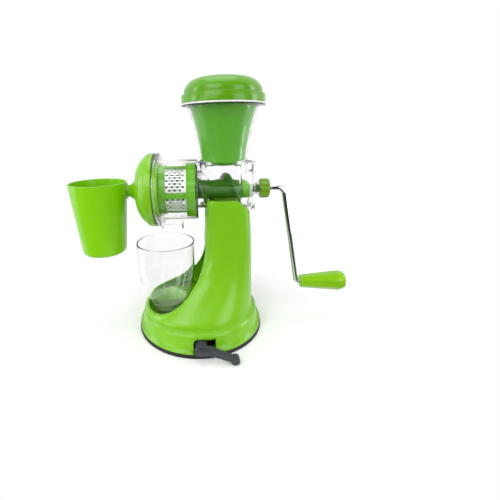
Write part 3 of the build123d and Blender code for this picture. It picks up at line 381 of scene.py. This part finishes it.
# %% [markdown]
# The rim of the hopper's flange shows as a white line of light under the lid. The CAD flange is
# clear right to its edge, so the line is a painted highlight, a thin matt white hoop set into the
# edge.

# %% Painted highlight on the flange rim
FLANGE_MM = (44.8, 262.5, 30.4)   # radius, height of its top and place along X
RIM_H = 1.5 * MM
RIM_OVER = 0.25 * MM   # how far the hoop stands out from the flange
RIM_WALL = 0.6 * MM
RIM_SOFT = 0.2 * MM


def add_flange_painted_highlight():
    """A painted highlight on the edge of the clear flange, a thin hoop modelled as a tube with a
    wall.
    """
    radius, top, along = (length * MM for length in FLANGE_MM)
    bpy.ops.object.select_all(action="DESELECT")
    bpy.ops.mesh.primitive_cylinder_add(vertices=144, radius=radius + RIM_OVER, depth=RIM_H,
                                        end_fill_type="NOTHING",
                                        location=(along, 0, top - RIM_H / 2))
    rim = bpy.context.active_object
    rim.name = "hopper_flange_painted_highlight"
    wall = rim.modifiers.new("wall", "SOLIDIFY")
    wall.thickness = RIM_WALL
    bpy.ops.object.modifier_apply(modifier="wall")
    soft = rim.modifiers.new("soft_edges", "BEVEL")
    soft.width = RIM_SOFT
    soft.segments = 2
    bpy.ops.object.modifier_apply(modifier="soft_edges")
    bpy.ops.object.transform_apply(location=True, rotation=True, scale=True)
    bpy.ops.object.shade_smooth_by_angle(angle=math.radians(35))
    # The hoop's matt white paints the highlight that the clear flange's edge catches.
    rim.data.materials.append(painted_light_plastic("polycarbonate_edge_painted_highlight", "FFFFFF", 0.25, 0.4))
    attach(rim, "head")
    return rim


flange_painted_highlight = add_flange_painted_highlight()
print("flange rim faces", len(flange_painted_highlight.data.polygons))

# %% [markdown]
# The juicer stands on a plain white table in a white studio. The table is a round sheet that
# fades out from just outside the foot, so it holds the contact shadow and no horizon shows.

# %% Table
TABLE_R = 0.75
FADE_FROM = 0.085
FADE_TO = TABLE_R * 0.3


def add_table():
    """The white table top, whose edge fades into the white background."""
    material, tree = new_material("white_table")
    place = add_node(tree, "ShaderNodeTexCoord")
    reach = add_node(tree, "ShaderNodeVectorMath", [(0, place.outputs["Object"])],
                     operation="LENGTH")
    fade = add_node(tree, "ShaderNodeMapRange", [("Value", reach.outputs["Value"])],
                    From_Min=FADE_FROM, From_Max=FADE_TO, interpolation_type="SMOOTHSTEP")
    paint = add_node(tree, "ShaderNodeBsdfPrincipled", Base_Color=linear("FCFCFC"), Roughness=0.7)
    clear = add_node(tree, "ShaderNodeBsdfTransparent")
    mix = add_node(tree, "ShaderNodeMixShader",
                   [(0, fade.outputs["Result"]), (1, paint.outputs["BSDF"]),
                    (2, clear.outputs["BSDF"])])
    add_node(tree, "ShaderNodeOutputMaterial", [("Surface", mix.outputs["Shader"])])
    bpy.ops.mesh.primitive_circle_add(vertices=96, radius=TABLE_R, fill_type="NGON")
    table = bpy.context.active_object
    table.name = "table_top"
    table.data.materials.append(material)
    return table


table = add_table()
print("table", tuple(table.dimensions))

# %% [markdown]
# A product picture gets its shine from large soft boxes and its depth from the dark room behind
# the camera. The world here is white where it is seen, white behind the juicer where the plastic
# and the chrome mirror it, and dim on the camera's side, so that the greens keep their full
# colour in front and the edges turn bright.

# %% Light
WORLD_LIGHT = 0.5    # strength of the room as a soft light
DARK_SIDE = 0.05     # strength of its camera side, seen in a mirror
DIM_INSIDE = 0.6     # the same, seen through clear plastic
DARK_UNTIL_Y = -0.35
WHITE_FROM_Y = 0.15


def add_lamp(name, place, aim, size, power):
    """A soft box that looks at a point."""
    lamp = bpy.data.lights.new(name, "AREA")
    lamp.shape = "RECTANGLE"
    lamp.size, lamp.size_y = size
    lamp.energy = power
    lamp_object = bpy.data.objects.new(name, lamp)
    lamp_object.location = place
    lamp_object.rotation_euler = (Vector(aim) - Vector(place)).to_track_quat("-Z", "Y").to_euler()
    bpy.context.scene.collection.objects.link(lamp_object)
    return lamp_object


def add_world():
    """A white studio: soft as a light, dim on one side in a mirror, and white where it is seen."""
    world = bpy.data.worlds.new("studio")
    world.use_nodes = True
    tree = world.node_tree
    tree.nodes.clear()
    path = add_node(tree, "ShaderNodeLightPath")
    place = add_node(tree, "ShaderNodeTexCoord")
    heading = add_node(tree, "ShaderNodeSeparateXYZ", [("Vector", place.outputs["Generated"])])
    dim = add_node(tree, "ShaderNodeMapRange", [("Value", path.outputs["Transmission Depth"])],
                   To_Min=DARK_SIDE, To_Max=DIM_INSIDE)
    room = add_node(tree, "ShaderNodeMapRange", [("Value", heading.outputs["Y"]),
                                                 ("To Min", dim.outputs["Result"])],
                    From_Min=DARK_UNTIL_Y, From_Max=WHITE_FROM_Y, To_Max=1.0,
                    interpolation_type="SMOOTHSTEP")
    mirrored = add_node(tree, "ShaderNodeMapRange", [("Value", path.outputs["Glossy Depth"]),
                                                     ("To Max", room.outputs["Result"])],
                        To_Min=1.0)
    strength = add_node(tree, "ShaderNodeMapRange", [("Value", path.outputs["Diffuse Depth"]),
                                                     ("To Min", mirrored.outputs["Result"])],
                        To_Max=WORLD_LIGHT)
    light = add_node(tree, "ShaderNodeBackground", [("Strength", strength.outputs["Result"])],
                     Color=(1, 1, 1, 1))
    add_node(tree, "ShaderNodeOutputWorld", [("Surface", light.outputs["Background"])])
    bpy.context.scene.world = world


add_world()
MIDDLE = (0.0, 0.0, 0.15)
add_lamp("key_soft_box", (-0.5, -0.8, 0.9), MIDDLE, (0.8, 0.8), 6.4)
add_lamp("fill_soft_box", (0.7, -0.75, 0.5), MIDDLE, (0.5, 0.8), 3.5)
add_lamp("top_soft_box", (0.0, 0.1, 1.15), MIDDLE, (0.7, 0.7), 2.6)
add_lamp("low_soft_box", (-0.75, -0.55, 0.22), (-0.04, 0, 0.04), (0.4, 0.3), 1.4)
add_lamp("left_strip", (-0.95, -0.05, 0.35), (0, 0, 0.2), (0.22, 0.8), 2.2)
add_lamp("right_strip", (0.95, -0.02, 0.35), (0, 0, 0.2), (0.22, 0.8), 2.6)
bpy.context.scene.view_settings.view_transform = "Standard"
print("studio ready")
